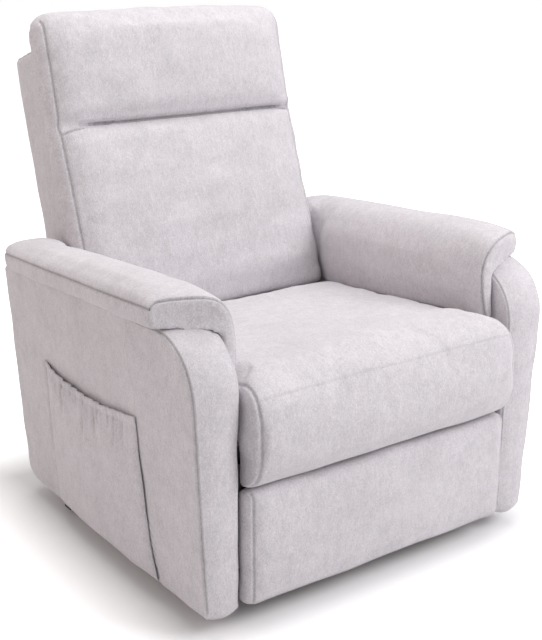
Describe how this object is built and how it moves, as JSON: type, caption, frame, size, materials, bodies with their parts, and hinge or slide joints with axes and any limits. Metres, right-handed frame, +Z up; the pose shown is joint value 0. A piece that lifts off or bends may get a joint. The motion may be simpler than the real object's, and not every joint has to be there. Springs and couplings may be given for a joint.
{
  "type": "power lift recliner",
  "caption": "Upholstered power recliner with padded arms, a side pocket and a fold-out footrest, on a steel linkage base that lifts and tips the chair forward.",
  "frame": {"origin": "on the floor, in the middle of the chair's box across and front to back", "axes": "+Z up, +X to the sitter's left hand side seen from the front as picture right, +Y from the chair's front to its back"},
  "size_m": [0.882, 0.9783, 1.0483],
  "materials": {
    "upholstery": "soft woven chenille, matte",
    "timber": "raw plywood",
    "black_steel": "satin powder coat",
    "zinc_steel": "zinc plated",
    "black_plastic": "moulded, matte",
    "grey_plastic": "moulded, fine grain"
  },
  "bodies": {
    "base": {"base_rail_left": "black_steel", "base_rail_right": "black_steel", "base_front_tube": "black_steel", "base_rear_tube": "black_steel", "lift_riser_left": "black_steel", "lift_riser_right": "black_steel", "actuator_bracket": "black_steel", "floor_glides": "black_plastic"},
    "lift_arms": {"lift_torque_tube": "black_steel", "lower_link_left": "black_steel", "lower_link_right": "black_steel"},
    "upper_links": {"upper_link_left": "black_steel", "upper_link_right": "black_steel"},
    "lift_actuator": {"lift_actuator": "black_plastic"},
    "lift_rod": {"lift_actuator_rod": "zinc_steel"},
    "carriage": {"side_plate_left": "black_steel", "side_plate_right": "black_steel", "carriage_pins": "black_steel", "lift_plate_left": "black_steel", "lift_plate_right": "black_steel", "front_cross_tube": "black_steel", "rear_cross_tube": "black_steel", "seat_frame": "timber", "seat_springs": "zinc_steel", "seat_cushion": "upholstery", "arm_frame_left": "timber", "arm_frame_right": "timber", "arm_cover_left": "upholstery", "arm_cover_right": "upholstery", "arm_pad_left": "upholstery", "arm_pad_right": "upholstery", "side_pocket": "upholstery", "rear_valance": "upholstery", "control_box": "black_plastic", "power_inlet": "grey_plastic", "handset": "grey_plastic"},
    "back": {"back_bracket_left": "black_steel", "back_bracket_right": "black_steel", "back_crank_tube": "black_steel", "back_frame": "timber", "back_springs": "zinc_steel", "back_shell": "upholstery", "back_cushion": "upholstery"},
    "recline_actuator_body": {"recline_actuator": "black_plastic"},
    "recline_rod": {"recline_actuator_rod": "zinc_steel"},
    "inner_links": {"inner_link_left": "zinc_steel", "inner_link_right": "zinc_steel", "drive_tube": "black_steel"},
    "outer_links": {"outer_links": "zinc_steel"},
    "rear_stays": {"rear_stay_links": "zinc_steel"},
    "front_stays": {"front_stay_links": "zinc_steel"},
    "drive_links_pair": {"drive_links": "zinc_steel"},
    "footrest": {"footrest_brackets": "zinc_steel", "footrest_board": "timber", "footrest_pad": "upholstery"},
    "back_up_key": {"back_up_button": "black_plastic"},
    "back_down_key": {"back_down_button": "black_plastic"},
    "lift_up_key": {"lift_up_button": "black_plastic"},
    "lift_down_key": {"lift_down_button": "black_plastic"}
  },
  "joints": [
    {"name": "lift_swing", "type": "hinge", "parent": "base", "child": "lift_arms", "pos_m": [0, -0.26359, 0.082], "axis": [1, 0, 0], "range_deg": [0, 40]},
    {"name": "carriage_tilt", "type": "hinge", "parent": "lift_arms", "child": "carriage", "pos_m": [0, 0.09641, 0.092], "axis": [1, 0, 0], "range_deg": [-20, 0]},
    {"name": "upper_link_swing", "type": "hinge", "parent": "base", "child": "upper_links", "pos_m": [0, -0.24859, 0.15], "axis": [1, 0, 0], "range_deg": [0, 37.2]},
    {"name": "lift_actuator_swing", "type": "hinge", "parent": "base", "child": "lift_actuator", "pos_m": [0, 0.13141, 0.082], "axis": [1, 0, 0], "range_deg": [0, 4.19]},
    {"name": "lift_rod_slide", "type": "slide", "parent": "lift_actuator", "child": "lift_rod", "axis": [0, -0.961, 0.2767], "range_m": [0, 0.0695]},
    {"name": "back_recline", "type": "hinge", "parent": "carriage", "child": "back", "pos_m": [0, 0.25841, 0.338], "axis": [1, 0, 0], "range_deg": [-38, 0]},
    {"name": "inner_link_fold", "type": "hinge", "parent": "carriage", "child": "inner_links", "pos_m": [0, -0.28859, 0.315], "axis": [1, 0, 0], "range_deg": [-84, 0]},
    {"name": "outer_link_fold", "type": "hinge", "parent": "inner_links", "child": "outer_links", "pos_m": [0, -0.20159, 0.102], "axis": [1, 0, 0], "range_deg": [0, 88]},
    {"name": "footrest_turn", "type": "hinge", "parent": "outer_links", "child": "footrest", "pos_m": [0, -0.37859, 0.255], "axis": [1, 0, 0], "range_deg": [-92, 0]},
    {"name": "rear_stay_fold", "type": "hinge", "parent": "carriage", "child": "rear_stays", "pos_m": [0, -0.35159, 0.318], "axis": [1, 0, 0], "range_deg": [-84.3, 0]},
    {"name": "front_stay_fold", "type": "hinge", "parent": "inner_links", "child": "front_stays", "pos_m": [0, -0.20759, 0.073], "axis": [1, 0, 0], "range_deg": [0, 88.1]},
    {"name": "drive_link_swing", "type": "hinge", "parent": "inner_links", "child": "drive_links_pair", "pos_m": [0, -0.27059, 0.288], "axis": [1, 0, 0], "range_deg": [0, 84.46]},
    {"name": "recline_actuator_swing", "type": "hinge", "parent": "carriage", "child": "recline_actuator_body", "pos_m": [0, -0.12959, 0.294], "axis": [1, 0, 0], "range_deg": [-2.44, 0]},
    {"name": "recline_rod_slide", "type": "slide", "parent": "recline_actuator_body", "child": "recline_rod", "axis": [0, 0.9969, -0.079], "range_m": [-0.0549, 0]},
    {"name": "back_up_press", "type": "slide", "parent": "carriage", "child": "back_up_key", "axis": [0.9987, 0, 0.0511], "range_m": [0, 0.0012], "stiffness_N_per_m": 500, "springref_m": -0.001},
    {"name": "back_down_press", "type": "slide", "parent": "carriage", "child": "back_down_key", "axis": [0.9987, 0, 0.0511], "range_m": [0, 0.0012], "stiffness_N_per_m": 500, "springref_m": -0.001},
    {"name": "lift_up_press", "type": "slide", "parent": "carriage", "child": "lift_up_key", "axis": [0.9987, 0, 0.0511], "range_m": [0, 0.0012], "stiffness_N_per_m": 500, "springref_m": -0.001},
    {"name": "lift_down_press", "type": "slide", "parent": "carriage", "child": "lift_down_key", "axis": [0.9987, 0, 0.0511], "range_m": [0, 0.0012], "stiffness_N_per_m": 500, "springref_m": -0.001}
  ],
  "couplings": [
    {"joint": "carriage_tilt", "follows": "lift_swing", "ratio": -0.5},
    {"joint": "upper_link_swing", "follows": "lift_swing", "ratio": 0.93},
    {"joint": "lift_actuator_swing", "follows": "lift_swing", "ratio": 0.10456},
    {"joint": "lift_rod_slide", "follows": "lift_swing", "m_per_rad": 0.09945},
    {"joint": "inner_link_fold", "follows": "back_recline", "ratio": 2.2105},
    {"joint": "outer_link_fold", "follows": "back_recline", "ratio": -2.3158},
    {"joint": "footrest_turn", "follows": "back_recline", "ratio": 2.4211},
    {"joint": "rear_stay_fold", "follows": "back_recline", "ratio": 2.2184},
    {"joint": "front_stay_fold", "follows": "back_recline", "ratio": -2.3184},
    {"joint": "drive_link_swing", "follows": "back_recline", "ratio": -2.2226},
    {"joint": "recline_actuator_swing", "follows": "back_recline", "ratio": 0.06417},
    {"joint": "recline_rod_slide", "follows": "back_recline", "m_per_rad": 0.08269}
  ]
}
